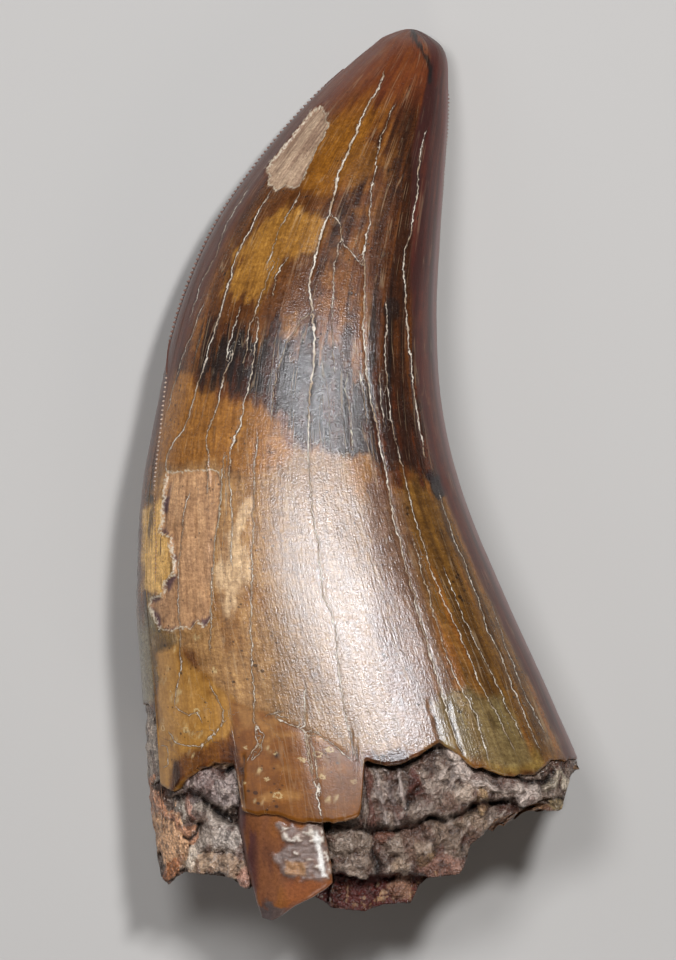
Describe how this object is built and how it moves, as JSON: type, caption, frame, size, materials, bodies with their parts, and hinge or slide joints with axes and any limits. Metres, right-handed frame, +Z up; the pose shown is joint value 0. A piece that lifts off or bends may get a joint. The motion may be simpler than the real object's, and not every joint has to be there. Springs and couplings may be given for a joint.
{
  "type": "fossil tyrannosaur tooth",
  "caption": "Large curved fossil theropod tooth with serrated front edge, cracked amber-brown enamel and a rough broken base, lying on its flatter side.",
  "frame": {"origin": "centre of the footprint, on the surface that the tooth lies on", "axes": "+Y from the broken base to the tip, +Z up out of the table to the outer face of the tooth, +X to its rear edge"},
  "size_m": [0.0557, 0.1114, 0.034],
  "materials": {
    "fossil_enamel": "polished brown fossil enamel, glossy, with pale cracks",
    "broken_stone": "rough grey-brown dentine and stone at the break"
  },
  "bodies": {
    "root": {"tooth": "fossil_enamel"}
  },
  "joints": []
}
